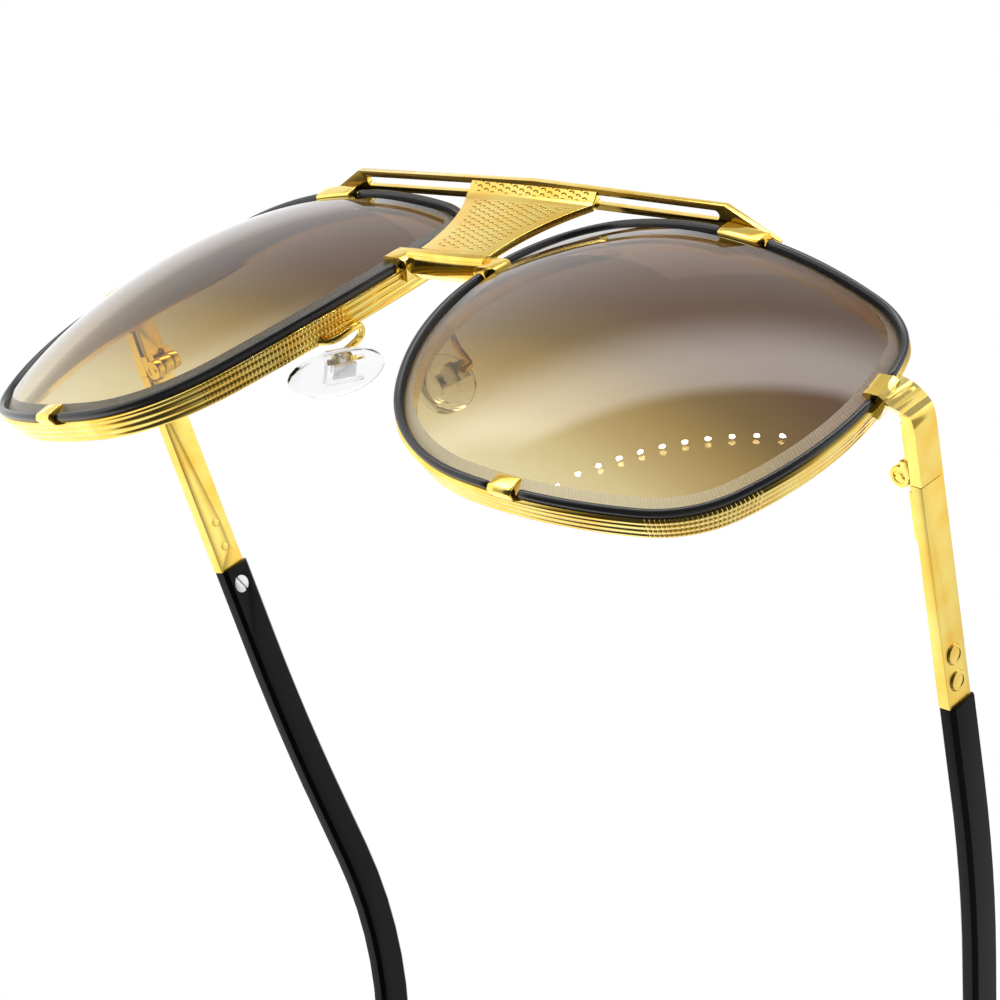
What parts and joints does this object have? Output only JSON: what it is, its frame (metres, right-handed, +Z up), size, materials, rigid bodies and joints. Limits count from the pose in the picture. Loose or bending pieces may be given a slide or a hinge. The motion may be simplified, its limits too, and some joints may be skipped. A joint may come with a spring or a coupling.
{
  "type": "flip up sunglasses",
  "caption": "Metal navigator sunglasses with domed tinted lenses held by claws in grooved rims, a slotted brow bar, a textured bridge plate, nose pads and folding temples.",
  "frame": {"origin": "middle of the bounding box seen from above, on the plane that the lower claws and temple tips rest on", "axes": "+X to the viewer's right when looking at the front of the lenses, +Y from the lenses towards the temple tips, +Z up, from the lower claws to the brow bar"},
  "size_m": [0.1386, 0.1588, 0.0544],
  "materials": {
    "gold_metal": "polished gold plate",
    "dark_trim": "glossy",
    "tinted_lens": "gradient tint, dark at the top and tan at the bottom",
    "dark_tip": "glossy acetate",
    "silver_rivet": "polished",
    "clear_pad": "clear silicone"
  },
  "bodies": {
    "front": {"rim_left": "gold_metal", "rim_right": "gold_metal", "trim_left": "dark_trim", "trim_right": "dark_trim", "lens_left": "tinted_lens", "lens_right": "tinted_lens", "brow_claw_left": "gold_metal", "brow_claw_right": "gold_metal", "bottom_claw_left": "gold_metal", "bottom_claw_right": "gold_metal", "endpiece_left": "gold_metal", "endpiece_right": "gold_metal", "hinge_front_left": "gold_metal", "hinge_front_right": "gold_metal", "hinge_screw_left": "gold_metal", "hinge_screw_right": "gold_metal", "pad_arm_left": "gold_metal", "pad_arm_right": "gold_metal", "pad_box_left": "gold_metal", "pad_box_right": "gold_metal", "pad_screw_left": "gold_metal", "pad_screw_right": "gold_metal", "brow_bar": "gold_metal", "bridge_plate": "gold_metal", "bridge": "gold_metal"},
    "temple_arm_left": {"temple_left": "gold_metal", "hinge_rear_left": "gold_metal", "tip_left": "dark_tip", "tip_rivet_left": "silver_rivet", "temple_screws_left": "gold_metal"},
    "nose_pad_left": {"pad_left": "clear_pad", "pad_insert_left": "gold_metal"},
    "temple_arm_right": {"temple_right": "gold_metal", "hinge_rear_right": "gold_metal", "tip_right": "dark_tip", "tip_rivet_right": "silver_rivet", "temple_screws_right": "gold_metal"},
    "nose_pad_right": {"pad_right": "clear_pad", "pad_insert_right": "gold_metal"}
  },
  "joints": [
    {"name": "fold_left", "type": "hinge", "parent": "front", "child": "temple_arm_left", "pos_m": [-0.06525, -0.05424, 0.03963], "axis": [0, 0, -1], "range_deg": [0, 78]},
    {"name": "rock_left", "type": "hinge", "parent": "front", "child": "nose_pad_left", "pos_m": [-0.01027, -0.06725, 0.02419], "axis": [-0.4398, 0.8968, -0.0485], "range_deg": [-6, 6]},
    {"name": "fold_right", "type": "hinge", "parent": "front", "child": "temple_arm_right", "pos_m": [0.06525, -0.05424, 0.03963], "axis": [0, 0, 1], "range_deg": [0, 72]},
    {"name": "rock_right", "type": "hinge", "parent": "front", "child": "nose_pad_right", "pos_m": [0.01027, -0.06725, 0.02419], "axis": [0.4398, 0.8968, -0.0485], "range_deg": [-6, 6]}
  ]
}
